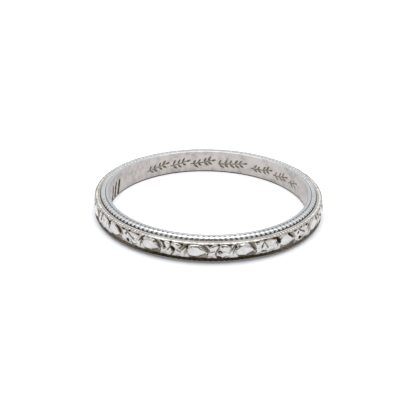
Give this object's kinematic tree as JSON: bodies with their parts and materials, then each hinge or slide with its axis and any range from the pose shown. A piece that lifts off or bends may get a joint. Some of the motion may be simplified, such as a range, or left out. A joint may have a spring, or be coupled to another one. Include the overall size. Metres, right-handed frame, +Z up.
{
  "type": "wedding band",
  "caption": "Narrow round wedding band with a plain inner sleeve, milgrain rims and an outer belt engraved with almond bosses and four-petal flowers.",
  "frame": {"origin": "centre of the finger hole, in the plane of the lower edge that the band stands on", "axes": "+Z up along the finger hole's axis, -Y towards the front as it is usually shown"},
  "size_m": [0.02, 0.02, 0.0021],
  "materials": {
    "polished_sleeve": "polished white gold, satin inside",
    "engraved_metal": "bright-cut white gold with darkened recesses",
    "milgrain_metal": "polished beaded white gold",
    "solder": "white gold solder"
  },
  "bodies": {
    "root": {"liner_sleeve": "polished_sleeve", "engraved_belt": "engraved_metal", "upper_milgrain_wire": "milgrain_metal", "lower_milgrain_wire": "milgrain_metal", "liner_solder_seam": "solder", "belt_solder_seam": "solder", "upper_wire_solder_seam": "solder", "lower_wire_solder_seam": "solder", "upper_solder_fillet": "solder", "lower_solder_fillet": "solder"}
  },
  "joints": []
}
